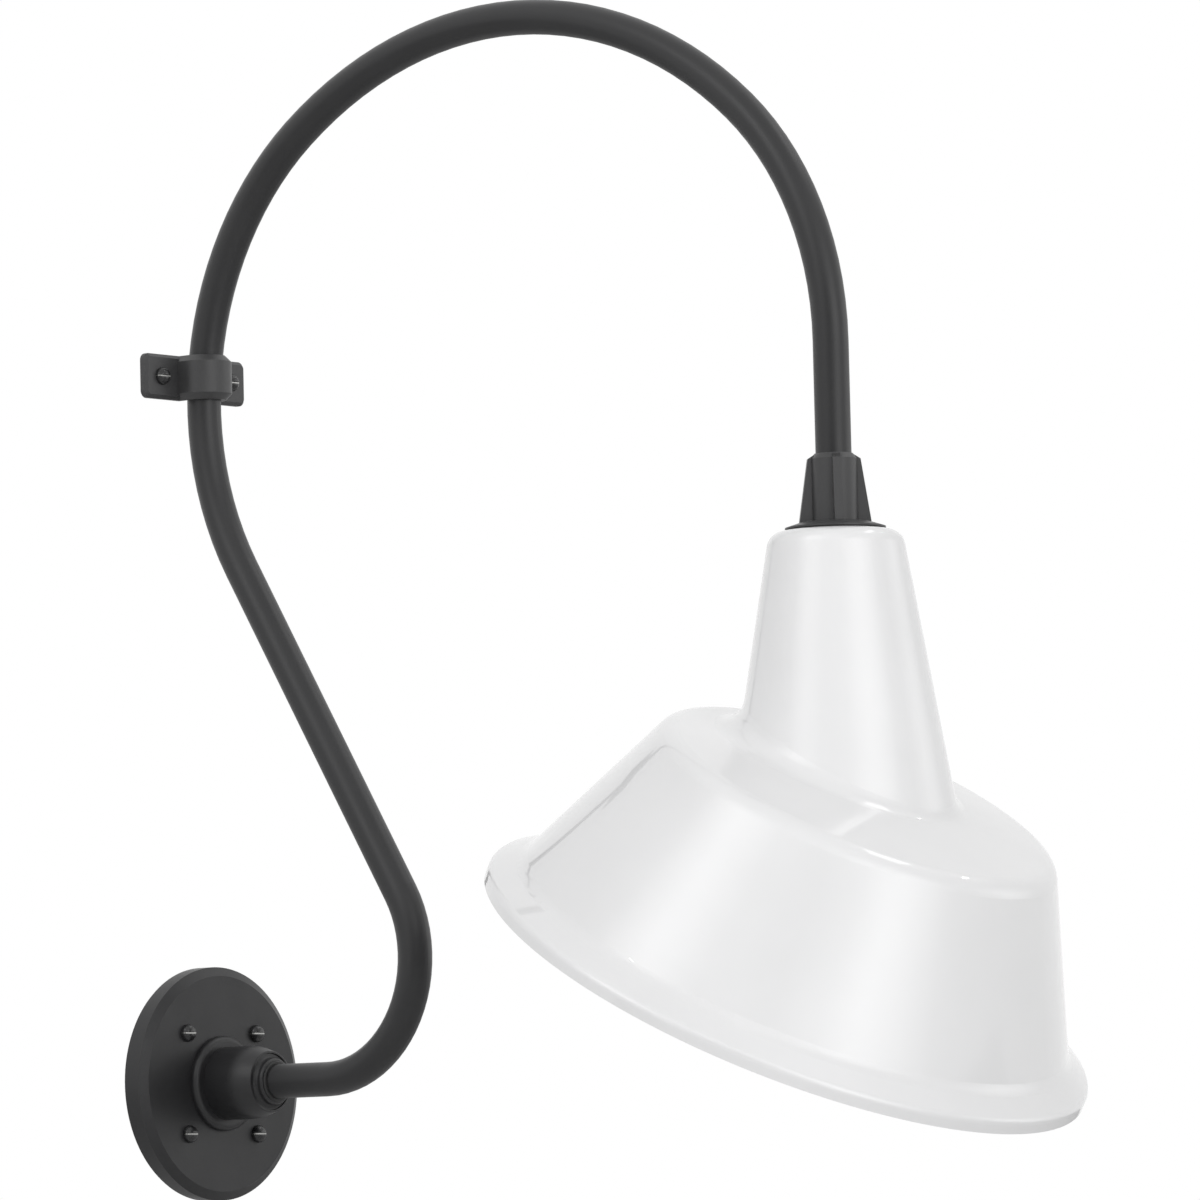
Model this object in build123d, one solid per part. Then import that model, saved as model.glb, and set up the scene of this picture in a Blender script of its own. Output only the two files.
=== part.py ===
"""A gooseneck barn light with an angled shade, in millimetres.

The light hangs on an outside wall. The wall is the plane y = 0 and the light stands out from it towards -Y,
with +Z up. The origin is the centre of the round canopy, on the wall. A depth is a distance from the wall.
"""
from build123d import *
import os
from math import acos, copysign, cos, hypot, pi, radians, sin, tan

# Shared clearances
fit_gap = 0.05           # radial gap of a shaft in its bore
loose_gap = 0.3          # gap between pieces that lie close but don't bind
overrun = 2.0            # how far a cutting shape runs past what it cuts
screw_hole_gap = 0.35    # radial room of a screw in its hole
screw_tip_gap = 0.5      # a screw's tip to the bottom of its blind hole
shortest_edge = 0.0005   # an outline leaves out edges shorter than this

# The arm: half-inch pipe, bent in one plane that stands square to the wall
pipe_radius = 10.67
pipe_wall = 2.77
pipe_start_depth = 9.0   # the pipe's end inside the canopy
straight_depth = 104.5   # where the lowest bend begins
lower_bend = 74.0
lean = 31.3              # how far the diagonal run leans back from upright, degrees
rise_bend = 201.5        # the loop is a three-centred curve: rise, crown and fall
crown_bend = 282.5
fall_bend = 199.5
rise_end = 35.5          # slope at which the rise hands over to the crown, degrees
crown_end = 42.5         # slope at which the crown hands over to the fall, degrees
pipe_wall_gap = 0.5      # the loop's closest point to the wall
pipe_grip = 32.5         # how far the pipe reaches down into the shade's hub
groove_drop = 17.0       # centre of the swivel screw's groove, below the hub's top
groove_width = 5.6
groove_depth = 1.0

# The canopy: a round cast plate with a boss, hollow behind
canopy_radius = 73.0
gasket_thickness = 1.6
canopy_edge_depth = 12.4
canopy_face_depth = 16.0
canopy_bevel = 5.6
canopy_rim_wall = 5.0
canopy_plate = 3.5
ring_radius = 29.7       # rounded ring round the foot of the boss
ring_height = 5.0
ring_round = 3.6
boss_radius = 22.8
boss_straight_depth = 46.0
boss_round = 34.0
boss_mouth_radius = 19.1  # the boss narrows to its mouth
boss_mouth_round = 0.6
boss_depth = 57.0
mouth_recess_radius = 17.8
mouth_recess = 3.0
gasket_inset = 1.0
gasket_width = 10.0
box_screw_circle = 88.9  # the hole circle of a standard round box
box_screw_count = 4
box_screw_angle = 45.0   # the first screw's place on the circle, degrees
lug_radius = 5.0         # inner lug that the ground screw bites in
lug_drop = 40.0
lug_depth = 5.8

# Collar, seal and locknut on the pipe at the canopy
collar_flange_radius = 17.5
collar_flange = 2.2
collar_root_round = 2.8
collar_radius = 14.3
collar_length = 8.0
collar_round = 1.6
seal_radius = 12.6
seal_length = 1.2
seal_round = 0.8
locknut_flats = 30.0
locknut_thickness = 3.2

# Slotted round-head screws in the canopy and in the clamp
head_radius = 5.5
head_height = 4.8
head_round = 4.3
slot_width = 1.3
slot_depth = 1.7
shank_radius = 2.4
wall_thread_radius = 2.2
wall_thread_length = 26.0
anchor_thread_length = 10.0
thread_point = 3.0

# The wall clamp: a cast saddle with two ears
clamp_height = 444.0
saddle_wall = 6.3
saddle_height = 28.2
saddle_bevel = 4.0
ear_span = 92.4
ear_height = 28.2
ear_thickness = 5.0
ear_corner = 4.6
ear_bevel = 2.2
clamp_screw_span = 63.5

# The cast hub that carries the shade: a core with fins over a dished flange
hub_top_height = 355.0   # the whole head hangs from this height
hub_length = 44.6        # from the flange's seat to the hub's top
hub_fin_drop = 3.2       # the fins' upper corner, below the hub's top
hub_fin_rise = 4.6       # the fins' lower corner, above the flange's seat
hub_rim = 0.75
hub_core_radius = 13.8
hub_fin_top_radius = 15.7
hub_fin_foot_radius = 21.2
hub_fin_thickness = 5.0
hub_fin_count = 4
hub_fin_angle = 45.0     # the first fin's place, degrees
hub_flange_radius = 29.8
hub_flange_edge = 1.0
hub_dish_height = 3.8
stub_radius = 13.0       # threaded stub below the flange
stub_bore = 8.0
stub_length = 11.8
set_screw_radius = 2.5
set_screw_length = 4.6
set_screw_hex = 1.3
pad_thickness = 1.0      # rubber washer between the flange and the shade
pad_inset = 0.6

# The shade: a neck on the hub's axis, and a reflector turned about a tilted axis
sheet = 1.5
neck_top_radius = 39.4
neck_top_round = 10.0
neck_taper = 9.66        # half angle, degrees
neck_length = 189.4
neck_burial = 51.1       # how far the neck's lower end lies below the reflector's apex
shade_tilt = 28.96       # reflector's axis from upright, towards the wall, degrees
apex_offset = 24.3       # the reflector's apex, out from the neck's axis
crown_fall = 9.32        # slope of the reflector's top, degrees
shoulder_radius = 122.4
shoulder_round = 14.5
wall_flare = 24.8        # half angle of the reflector's wall, degrees
lip_fall = 32.4          # slope of the lip, degrees
lip_radius = 189.1
lip_width = 17.016       # from the wall's foot out to the lip's edge
lip_root_round = 14.0
lip_round = 5.0
band_height = 8.0
hem = 3.0                # the band's sheet is folded back on itself
neck_root_round = 15.0

# What clamps the shade on the stub
washer_radius = 22.0
washer_thickness = 1.5
strap_thickness = 1.5
shade_nut_flats = 32.0
shade_nut_thickness = 4.0

# The lampholder
strap_width = 14.0
strap_bend = 2.5
strap_plate_radius = 19.0
strap_foot_reach = 6.0   # the legs' ends, below their screws
strap_screw_drop = 16.0  # the legs' screws, below the porcelain's top
porcelain_radius = 20.0
porcelain_drop = 14.6    # the porcelain's top, below the stub
porcelain_length = 45.0
porcelain_round = 2.5
well_offset = 9.5
well_radius = 2.2
well_depth = 9.0
shell_radius = 13.5
shell_wall = 0.5
shell_length = 26.0
shell_lip = 1.2
shell_eye_radius = 6.0   # the opening round the centre contact
contact_radius = 4.0
contact_thickness = 0.8
contact_post_radius = 1.5
contact_post_length = 4.0
side_screw_radius = 1.75
side_head_radius = 3.4
side_head_height = 1.8
side_slot_width = 0.65
side_hole_radius = 15.0  # how close to the axis the strap screws' holes reach
terminal_drop = 7.0      # the terminal screws, below the porcelain's top

# The lamp: a medium screw base and a round frosted bulb
lamp_base_radius = 13.1
lamp_base_length = 17.0
lamp_base_wall = 1.0
lamp_skirt_radius = 13.7
lamp_skirt_length = 5.0
lamp_insulator_length = 4.0
lamp_insulator_radius = 11.5
lamp_insulator_tip_radius = 6.9
lamp_tip_radius = 4.6
lamp_tip_length = 1.6
lamp_gap = 0.3           # lamp's tip to the lampholder's contact
globe_radius = 30.0
globe_neck_radius = 11.9
globe_length = 84.0
globe_neck_length = 16.0
globe_flare_round = 34.0
globe_cone_share = 0.9   # where the cone leaves the ball, of the ball's radius
glass = 0.9
stem_radius = 6.0
stem_length = 30.0
stem_foot_radius = 10.6
stem_foot_length = 6.0
filament_wire = 0.6
filament_span = 15.0
filament_rise = 14.0
filament_bend = 1.8

# Leads and their connectors
lead_radius = 1.0
lead_offset = 3.0
lead_run_depth = 4.2     # depth of the leads where they run behind the canopy
lead_bend = 3.8
lead_sweep = 6.0
connector_radius = 3.9
connector_tip_radius = 2.4
connector_length = 18.0
connector_start = 22.0
connector_grip = 6.0     # how far a lead goes into its connector
ground_row = 22.0
ground_bend = 4.5
ground_connector_start = 12.0
bushing_lip = 1.0
bushing_wall = 1.1
bushing_length = 7.0
barrel_radius = 1.6
barrel_length = 6.0
tongue_radius = 4.2
tongue_thickness = 0.8
ground_screw_radius = 1.9
ground_head_radius = 3.6
ground_head_height = 2.0
ground_screw_length = 5.5
ground_hole_depth = 6.5

# Sizes that follow from the ones above
pipe_bore = pipe_radius - pipe_wall
collar_foot_depth = boss_depth - mouth_recess
collar_depth = collar_foot_depth + collar_length
seal_depth = collar_depth + seal_length
hollow_depth = canopy_face_depth - canopy_plate
hollow_bevel = canopy_bevel / 2
pipe_end_height = hub_top_height - pipe_grip
groove_height = hub_top_height - groove_drop
hub_fin_top_height = hub_top_height - hub_fin_drop
hub_flange_height = hub_top_height - hub_length
hub_fin_foot_height = hub_flange_height + hub_fin_rise
stub_end_height = hub_flange_height - stub_length
shade_top_height = hub_flange_height - pad_thickness
neck_foot_height = shade_top_height - neck_length
apex_drop = neck_length - neck_burial
apex_height = shade_top_height - apex_drop
wall_length = (lip_radius - lip_width - shoulder_radius) / sin(radians(wall_flare))
washer_height = shade_top_height - sheet
strap_height = washer_height - washer_thickness
nut_height = strap_height - strap_thickness
porcelain_top_height = stub_end_height - porcelain_drop
terminal_height = porcelain_top_height - terminal_drop
strap_screw_height = porcelain_top_height - strap_screw_drop
strap_foot_height = strap_screw_height - strap_foot_reach
porcelain_foot_height = porcelain_top_height - porcelain_length
shell_top_height = porcelain_foot_height + shell_length
contact_height = shell_top_height - shell_wall - contact_thickness
lamp_tip_height = contact_height - lamp_gap


def rounded_corner(before, corner, after, rounding):
    """The two tangent points and the middle of the arc that rounds a corner."""
    ux, uy = before[0] - corner[0], before[1] - corner[1]
    vx, vy = after[0] - corner[0], after[1] - corner[1]
    ulen, vlen = hypot(ux, uy), hypot(vx, vy)
    ux, uy, vx, vy = ux / ulen, uy / ulen, vx / vlen, vy / vlen
    half = acos(max(-1, min(1, ux * vx + uy * vy))) / 2
    reach = rounding / tan(half)
    bx, by = ux + vx, uy + vy
    blen = hypot(bx, by)
    depth = rounding / sin(half) - rounding
    first = (corner[0] + ux * reach, corner[1] + uy * reach)
    middle = (corner[0] + bx / blen * depth, corner[1] + by / blen * depth)
    last = (corner[0] + vx * reach, corner[1] + vy * reach)
    return first, middle, last


def outline(corners):
    """A face from corners (x, y) or (x, y, rounding)."""
    edges, ends = [], []
    count = len(corners)
    for index, corner in enumerate(corners):
        rounding = corner[2] if len(corner) > 2 else 0
        if rounding:
            after = corners[(index + 1) % count]
            first, middle, last = rounded_corner(corners[index - 1], corner, after, rounding)
            edges.append(ThreePointArc(first, middle, last))
            ends.append((first, last))
        else:
            ends.append((corner[:2], corner[:2]))
    for index in range(count):
        start, end = ends[index][1], ends[(index + 1) % count][0]
        if hypot(start[0] - end[0], start[1] - end[1]) > shortest_edge:
            edges.append(Line(start, end))
    return make_face(edges)


def turned(corners):
    """A solid turned about +Z from (radius, height) or (radius, height, rounding) corners."""
    return revolve(Plane.XZ * outline(corners), axis=Axis.Z)


def from_wall(solid):
    """Lays a solid that was built along +Z so that its +Z points out from the wall."""
    return Rot(90, 0, 0) * solid


def rod(radius, low, high):
    """A cylinder about +Z between two heights."""
    return Pos(0, 0, (low + high) / 2) * Cylinder(radius, high - low)


def ring(outer, inner, low, high):
    """A plain ring about +Z between two heights."""
    return rod(outer, low, high) - rod(inner, low - overrun, high + overrun)


def hex_nut(flats, bore, low, high):
    """A hexagonal nut about +Z with rounded corners of its upper and lower faces."""
    blank = extrude(Pos(0, 0, low) * RegularPolygon(flats / 2, 6, major_radius=False), high - low)
    corner_radius = flats / 2 / cos(pi / 6)
    cone = turned([
        (0, low), (flats / 2, low), (corner_radius, (low + high) / 2), (flats / 2, high), (0, high)])
    return (blank & cone) - rod(bore, low - overrun, high + overrun)


def bend(place, heading, radius, turn):
    """The middle and end of an arc from place, and the heading after it; a positive turn is to the left."""
    side = copysign(1, turn)
    centre = (place[0] - side * radius * sin(heading), place[1] + side * radius * cos(heading))

    def at(angle):
        return (centre[0] + side * radius * sin(angle), centre[1] - side * radius * cos(angle))

    return at(heading + turn / 2), at(heading + turn), heading + turn


def arm_stretches(start_depth, end_height):
    """The arm's centre line in (depth, height): each stretch's start, middle (none if straight) and end."""
    leaning = radians(lean)
    closest = pipe_radius + pipe_wall_gap
    run = straight_depth + (lower_bend + rise_bend) * cos(leaning) - rise_bend - closest
    diagonal = run / sin(leaning)
    stretches = [((start_depth, 0), None, (straight_depth, 0))]
    place, heading = (straight_depth, 0), 0
    middle, end, heading = bend(place, heading, lower_bend, pi / 2 + leaning)
    stretches.append((place, middle, end))
    place = end
    end = (place[0] + diagonal * cos(heading), place[1] + diagonal * sin(heading))
    stretches.append((place, None, end))
    place = end
    for radius, slope in ((rise_bend, rise_end), (crown_bend, -crown_end), (fall_bend, -90)):
        middle, end, heading = bend(place, heading, radius, radians(slope) - heading)
        stretches.append((place, middle, end))
        place = end
    stretches.append((place, None, (place[0], end_height)))
    return stretches


def arm_edges(start_depth, end_height, side):
    """The edges of the arm's centre line, moved sideways by side."""
    edges = []
    for start, middle, end in arm_stretches(start_depth, end_height):
        first, last = (side, -start[0], start[1]), (side, -end[0], end[1])
        if middle is None:
            edges.append(Line(first, last))
        else:
            edges.append(ThreePointArc(first, (side, -middle[0], middle[1]), last))
    return edges


def swept(path, section_radius, bore=0):
    """A round bar or tube along a path."""
    start = Plane(origin=path @ 0, z_dir=path % 0)
    section = start * Circle(section_radius)
    if bore:
        section -= start * Circle(bore)
    return sweep(sections=section, path=path)


reach = arm_stretches(pipe_start_depth, pipe_end_height)[-1][0][0]
neck_axis = Pos(0, -reach, 0)


# The wall end


def make_wall_gasket():
    """The foam ring between the canopy and the wall."""
    outer = canopy_radius - gasket_inset
    return from_wall(ring(outer, outer - gasket_width, 0, gasket_thickness))


def box_screw_places():
    """The canopy's screws, at the corners of an upright square."""
    return PolarLocations(box_screw_circle / 2, box_screw_count, start_angle=box_screw_angle)


def make_canopy():
    """The cast plate, its boss and its hollow back."""
    face_radius = canopy_radius - canopy_bevel
    body = turned([
        (0, gasket_thickness),
        (canopy_radius, gasket_thickness),
        (canopy_radius, canopy_edge_depth),
        (face_radius, canopy_face_depth),
        (ring_radius, canopy_face_depth),
        (ring_radius, canopy_face_depth + ring_height, ring_round),
        (boss_radius, canopy_face_depth + ring_height),
        (boss_radius, boss_straight_depth, boss_round),
        (boss_mouth_radius, boss_depth, boss_mouth_round),
        (mouth_recess_radius, boss_depth),
        (mouth_recess_radius, collar_foot_depth),
        (0, collar_foot_depth),
    ])
    hollow_radius = canopy_radius - canopy_rim_wall
    body -= rod(hollow_radius, gasket_thickness - overrun, hollow_depth - hollow_bevel)
    body -= Pos(0, 0, hollow_depth - hollow_bevel / 2) * Cone(
        hollow_radius, hollow_radius - hollow_bevel, hollow_bevel)
    body += Pos(0, -lug_drop, 0) * rod(lug_radius, lug_depth, hollow_depth + canopy_plate / 2)
    body -= Pos(0, -lug_drop, 0) * rod(ground_screw_radius + fit_gap, lug_depth - overrun,
                                       lug_depth + ground_hole_depth)
    body -= rod(pipe_radius + fit_gap, gasket_thickness - overrun, boss_depth + overrun)
    hole = rod(shank_radius + screw_hole_gap, gasket_thickness, canopy_face_depth + overrun)
    for place in box_screw_places():
        body -= place * hole
    return from_wall(body)


def make_hub_collar():
    """The flanged collar that closes the boss's mouth round the pipe."""
    body = turned([
        (pipe_radius + fit_gap, collar_foot_depth),
        (collar_flange_radius, collar_foot_depth),
        (collar_flange_radius, collar_foot_depth + collar_flange),
        (collar_radius, collar_foot_depth + collar_flange, collar_root_round),
        (collar_radius, collar_depth, collar_round),
        (pipe_radius + fit_gap, collar_depth),
    ])
    return from_wall(body)


def make_collar_seal():
    """The small sealing ring in front of the collar."""
    body = turned([
        (pipe_radius + fit_gap, collar_depth),
        (seal_radius, collar_depth),
        (seal_radius, seal_depth, seal_round),
        (pipe_radius + fit_gap, seal_depth),
    ])
    return from_wall(body)


def make_arm_locknut():
    """The nut that holds the pipe from inside the canopy."""
    nut = hex_nut(locknut_flats, pipe_radius + fit_gap, hollow_depth - locknut_thickness, hollow_depth)
    return from_wall(nut)


def slotted_screw(seat, shank_end, thread_radius, thread_end):
    """A slotted round-head screw about +Z: its head on the seat, its shank below, then its thread."""
    body = turned([
        (0, seat),
        (head_radius, seat),
        (head_radius, seat + head_height, head_round),
        (0, seat + head_height),
    ])
    body += rod(shank_radius, shank_end, seat)
    body += turned([
        (0, shank_end),
        (thread_radius, shank_end),
        (thread_radius, thread_end + thread_point),
        (0, thread_end),
    ])
    slot_bottom = seat + head_height - slot_depth
    slot = Pos(0, 0, slot_bottom + head_height / 2) * Box(
        head_radius * 2 + overrun, slot_width, head_height)
    return body - slot


def place_only(location):
    """A location without its turn, so that every slot stays level."""
    return Pos(*location.position)


def make_canopy_screws():
    """The four screws that hold the canopy to its box in the wall."""
    screw = slotted_screw(canopy_face_depth, 0, wall_thread_radius, -wall_thread_length)
    return Compound([from_wall(place_only(place) * screw) for place in box_screw_places()])


def make_ground_screw():
    """The screw that holds the ground terminal to the canopy's lug."""
    seat = lug_depth - tongue_thickness
    head = rod(ground_head_radius, seat - ground_head_height, seat)
    shank = rod(ground_screw_radius, seat, lug_depth + ground_screw_length)
    slot = Pos(0, 0, seat - ground_head_height) * Box(
        ground_head_radius * 2 + overrun, slot_width, ground_head_height)
    return from_wall(Pos(0, -lug_drop, 0) * (head + shank - slot))


def make_ground_terminal():
    """A ring terminal: its tongue under the screw, its barrel on the ground lead."""
    tongue_low, tongue_high = lug_depth - tongue_thickness, lug_depth
    foot = tongue_radius + barrel_length
    tongue = rod(tongue_radius, tongue_low, tongue_high)
    tongue += Pos(0, foot / 2, (tongue_low + tongue_high) / 2) * Box(
        barrel_radius * 2, foot, tongue_thickness)
    tongue -= rod(ground_screw_radius + screw_hole_gap, tongue_low - overrun, tongue_high + overrun)
    along_lead = Pos(0, 0, lead_run_depth) * Rot(-90, 0, 0)
    barrel = along_lead * rod(barrel_radius, tongue_radius, foot)
    bore = along_lead * rod(lead_radius + fit_gap, tongue_radius, foot + overrun)
    return from_wall(Pos(0, -lug_drop, 0) * (tongue + barrel - bore))


def connector():
    """A twist-on wire connector along +X, from its open mouth."""
    body = turned([
        (0, 0),
        (connector_radius, 0),
        (connector_radius, connector_length / 2),
        (connector_tip_radius, connector_length, connector_tip_radius / 2),
        (0, connector_length),
    ])
    body -= rod(lead_radius + fit_gap, -overrun, connector_grip)
    return Rot(0, 90, 0) * body


def make_wire_connectors():
    """The connectors of the black, white and ground leads."""
    right = Pos(connector_start, -lead_run_depth, 0) * connector()
    left = mirror(right, about=Plane.YZ)
    ground = Pos(-ground_connector_start, -lead_run_depth, -ground_row) * mirror(
        connector(), about=Plane.YZ)
    return Compound([right, left, ground])


def make_bushing():
    """The plastic bushing in the pipe's mouth, so that the leads don't chafe."""
    inner = pipe_bore - bushing_wall
    lip = ring(pipe_radius - bushing_lip, inner, pipe_start_depth - bushing_lip, pipe_start_depth)
    sleeve = ring(pipe_bore - fit_gap, inner, pipe_start_depth, pipe_start_depth + bushing_length)
    return from_wall(lip + sleeve)


def make_supply_lead(side):
    """A lead from its connector behind the canopy, through the whole arm, to the hub; side is 1 or -1."""
    offset = side * lead_offset
    mouth = side * (connector_start + connector_grip)
    behind = FilletPolyline(
        (mouth, -lead_run_depth, 0), (offset, -lead_run_depth, 0), (offset, -pipe_start_depth - overrun, 0),
        radius=lead_bend)
    path = Wire(list(behind.edges()) + arm_edges(pipe_start_depth + overrun, pipe_end_height, offset))
    return swept(path, lead_radius)


def make_ground_lead():
    """The ground lead from its terminal to its connector."""
    start = -lug_drop + tongue_radius + fit_gap
    path = FilletPolyline(
        (0, -lead_run_depth, start), (0, -lead_run_depth, -ground_row),
        (-ground_connector_start - connector_grip, -lead_run_depth, -ground_row), radius=ground_bend)
    return swept(path, lead_radius)


def make_arm():
    """The bent pipe, with the swivel groove near its lower end."""
    body = swept(Wire(arm_edges(pipe_start_depth, pipe_end_height, 0)), pipe_radius, pipe_bore)
    groove = ring(pipe_radius + overrun, pipe_radius - groove_depth,
                  groove_height - groove_width / 2, groove_height + groove_width / 2)
    return body - neck_axis * groove


# The wall clamp


def pipe_depth_at(height):
    """The depth of the rising pipe's axis at a height beside the clamp."""
    leaning = radians(lean)
    foot = arm_stretches(pipe_start_depth, pipe_end_height)[3][0]
    centre_depth = pipe_radius + pipe_wall_gap + rise_bend
    centre_height = foot[1] + rise_bend * sin(leaning)
    return centre_depth - (rise_bend ** 2 - (height - centre_height) ** 2) ** (1 / 2)


def make_wall_clamp():
    """The saddle round the rising pipe and its two ears on the wall."""
    axis_depth = pipe_depth_at(clamp_height)
    saddle_radius = pipe_radius + loose_gap + saddle_wall
    low, high = clamp_height - saddle_height / 2, clamp_height + saddle_height / 2
    nose = Pos(0, -axis_depth, 0) * rod(saddle_radius, low, high)
    flanks = Pos(0, -axis_depth / 2, clamp_height) * Box(saddle_radius * 2, axis_depth, saddle_height)
    saddle = nose + flanks
    rims = saddle.edges().filter_by(GeomType.CIRCLE)
    saddle = chamfer(rims, saddle_bevel)
    plate = Pos(0, -ear_thickness / 2, clamp_height) * Box(ear_span, ear_thickness, ear_height)
    plate = fillet(plate.edges().filter_by(Axis.Y), ear_corner)
    plate = chamfer(plate.faces().sort_by(Axis.Y)[0].edges(), ear_bevel)
    body = saddle + plate
    body -= swept(Wire(arm_edges(pipe_start_depth, pipe_end_height, 0)), pipe_radius + loose_gap)
    body -= Pos(0, -axis_depth / 2 + overrun / 2, clamp_height) * Box(
        (pipe_radius + loose_gap) * 2, axis_depth + overrun, saddle_height + overrun)
    body -= Pos(0, saddle_radius, clamp_height) * Box(ear_span, saddle_radius * 2, saddle_height + overrun)
    hole = from_wall(rod(shank_radius + screw_hole_gap, -overrun, ear_thickness + overrun))
    for side in (-1, 1):
        body -= Pos(side * clamp_screw_span / 2, 0, clamp_height) * hole
    return body


def make_clamp_screws():
    """The two screws through the clamp's ears."""
    screw = from_wall(slotted_screw(ear_thickness, 0, wall_thread_radius, -anchor_thread_length))
    return Compound([Pos(side * clamp_screw_span / 2, 0, clamp_height) * screw for side in (-1, 1)])


# The shade's hub and its clamping parts


def make_shade_hub():
    """The cast hub: core, four diagonal fins, dished flange and threaded stub."""
    body = turned([
        (0, stub_end_height),
        (stub_radius, stub_end_height),
        (stub_radius, hub_flange_height),
        (hub_flange_radius, hub_flange_height),
        (hub_flange_radius, hub_flange_height + hub_flange_edge),
        (hub_fin_foot_radius, hub_flange_height + hub_dish_height),
        (hub_core_radius, hub_flange_height + hub_dish_height),
        (hub_core_radius, hub_fin_top_height),
        (pipe_radius + hub_rim, hub_top_height),
        (0, hub_top_height),
    ])
    foot = hub_flange_height + hub_dish_height / 2
    fin_face = Plane.XZ * outline([
        (0, foot),
        (hub_fin_foot_radius, foot),
        (hub_fin_foot_radius, hub_fin_foot_height),
        (hub_fin_top_radius, hub_fin_top_height),
        (pipe_radius, hub_top_height),
        (0, hub_top_height),
    ])
    fin = extrude(fin_face, hub_fin_thickness / 2, both=True)
    for place in PolarLocations(0, hub_fin_count, start_angle=hub_fin_angle):
        body += place * fin
    body -= rod(pipe_radius + fit_gap, pipe_end_height - loose_gap, hub_top_height + overrun)
    body -= rod(stub_bore, stub_end_height - overrun, hub_top_height)
    body -= Pos(0, 0, groove_height) * Rot(-90, 0, 0) * rod(
        set_screw_radius + fit_gap, 0, hub_core_radius + overrun)
    return neck_axis * body


def make_swivel_screw():
    """The socket set screw whose tip runs in the pipe's groove."""
    tip = pipe_radius - groove_depth + loose_gap
    body = rod(set_screw_radius, tip, tip + set_screw_length)
    socket_face = Pos(0, 0, tip + set_screw_length / 2) * RegularPolygon(
        set_screw_hex, 6, major_radius=False)
    body -= extrude(socket_face, set_screw_length)
    return neck_axis * Pos(0, 0, groove_height) * Rot(-90, 0, 0) * body


def make_hub_pad():
    """The rubber washer under the hub's flange."""
    outer, inner = hub_flange_radius - pad_inset, stub_radius + fit_gap
    return neck_axis * ring(outer, inner, shade_top_height, hub_flange_height)


def make_shade_washer():
    """The steel washer under the shade's top."""
    return neck_axis * ring(washer_radius, stub_radius + fit_gap, strap_height, washer_height)


def make_shade_nut():
    """The nut that draws the shade up against the hub."""
    nut = hex_nut(shade_nut_flats, stub_radius + fit_gap, nut_height - shade_nut_thickness, nut_height)
    return neck_axis * nut


# The shade


def reflector_corners(inset):
    """The reflector's outer corners (radius, drop, rounding), or those of its inner face for an inset."""
    fall, flare, lip = radians(crown_fall), radians(wall_flare), radians(lip_fall)
    shoulder = (shoulder_radius, shoulder_radius * tan(fall))
    root = (shoulder[0] + wall_length * sin(flare), shoulder[1] + wall_length * cos(flare))
    edge = (lip_radius, root[1] + (lip_radius - root[0]) * tan(lip))
    # each stretch as a point on it and its slope, moved inwards by the inset
    stretches = []
    for point, angle in ((shoulder, fall), (root, pi / 2 - flare), (edge, lip)):
        moved = (point[0] - inset * sin(angle), point[1] + inset * cos(angle))
        stretches.append((moved, angle))
    wall_radius = lip_radius - (hem if inset else 0)
    corners = [(0, stretches[0][0][1] - stretches[0][0][0] * tan(fall))]
    roundings = (shoulder_round - inset, lip_root_round + inset)
    for (first, slope), (second, next_slope), rounding in zip(stretches, stretches[1:], roundings):
        m, n = tan(slope), tan(next_slope)
        radius = (second[1] - first[1] + m * first[0] - n * second[0]) / (m - n)
        corners.append((radius, first[1] + (radius - first[0]) * m, rounding))
    last, slope = stretches[-1]
    corners.append((wall_radius, last[1] + (wall_radius - last[0]) * tan(slope), lip_round - inset))
    foot = edge[1] + band_height + (overrun if inset else 0)
    corners.append((wall_radius, foot))
    corners.append((0, foot))
    return corners


def shade_form(inset):
    """The shade's filled outer form, or that of its hollow for an inset, with the neck's root rounded."""
    taper = tan(radians(neck_taper))
    top = shade_top_height - inset
    side_shift = inset / cos(radians(neck_taper))
    top_radius = neck_top_radius + inset * taper - side_shift
    foot_radius = neck_top_radius + (shade_top_height - neck_foot_height) * taper - side_shift
    neck = neck_axis * turned([
        (0, neck_foot_height),
        (foot_radius, neck_foot_height),
        (top_radius, top, neck_top_round - inset),
        (0, top),
    ])
    drop = [(corner[0], -corner[1]) + tuple(corner[2:]) for corner in reflector_corners(inset)]
    tilted = Pos(0, -reach - apex_offset, apex_height) * Rot(shade_tilt, 0, 0)
    form = neck + tilted * turned(drop)
    plain = (GeomType.LINE, GeomType.CIRCLE)
    root = [edge for edge in form.edges() if edge.geom_type not in plain]
    return fillet(root, neck_root_round + inset)


def make_shade():
    """The enamelled steel shade."""
    body = shade_form(0) - shade_form(sheet)
    hole = rod(stub_radius + loose_gap, washer_height - overrun, shade_top_height + overrun)
    return body - neck_axis * hole


# The lampholder


def make_socket_strap():
    """The strap that hangs the lampholder under the nut: a plate with two legs."""
    leg_inner = porcelain_radius + fit_gap
    leg_outer = leg_inner + strap_thickness
    top, foot = strap_height, strap_foot_height
    face = outline([
        (leg_inner, foot), (leg_outer, foot), (leg_outer, top, strap_bend), (-leg_outer, top, strap_bend),
        (-leg_outer, foot), (-leg_inner, foot), (-leg_inner, nut_height, strap_bend - strap_thickness),
        (leg_inner, nut_height, strap_bend - strap_thickness)])
    body = extrude(Plane.YZ * face, strap_width / 2, both=True)
    body += rod(strap_plate_radius, nut_height, strap_height)
    body -= rod(stub_radius + fit_gap, nut_height - overrun, strap_height + overrun)
    hole = Pos(0, 0, strap_screw_height) * Rot(90, 0, 0) * rod(
        side_screw_radius + fit_gap, -leg_outer - overrun, leg_outer + overrun)
    return neck_axis * (body - hole)


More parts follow.
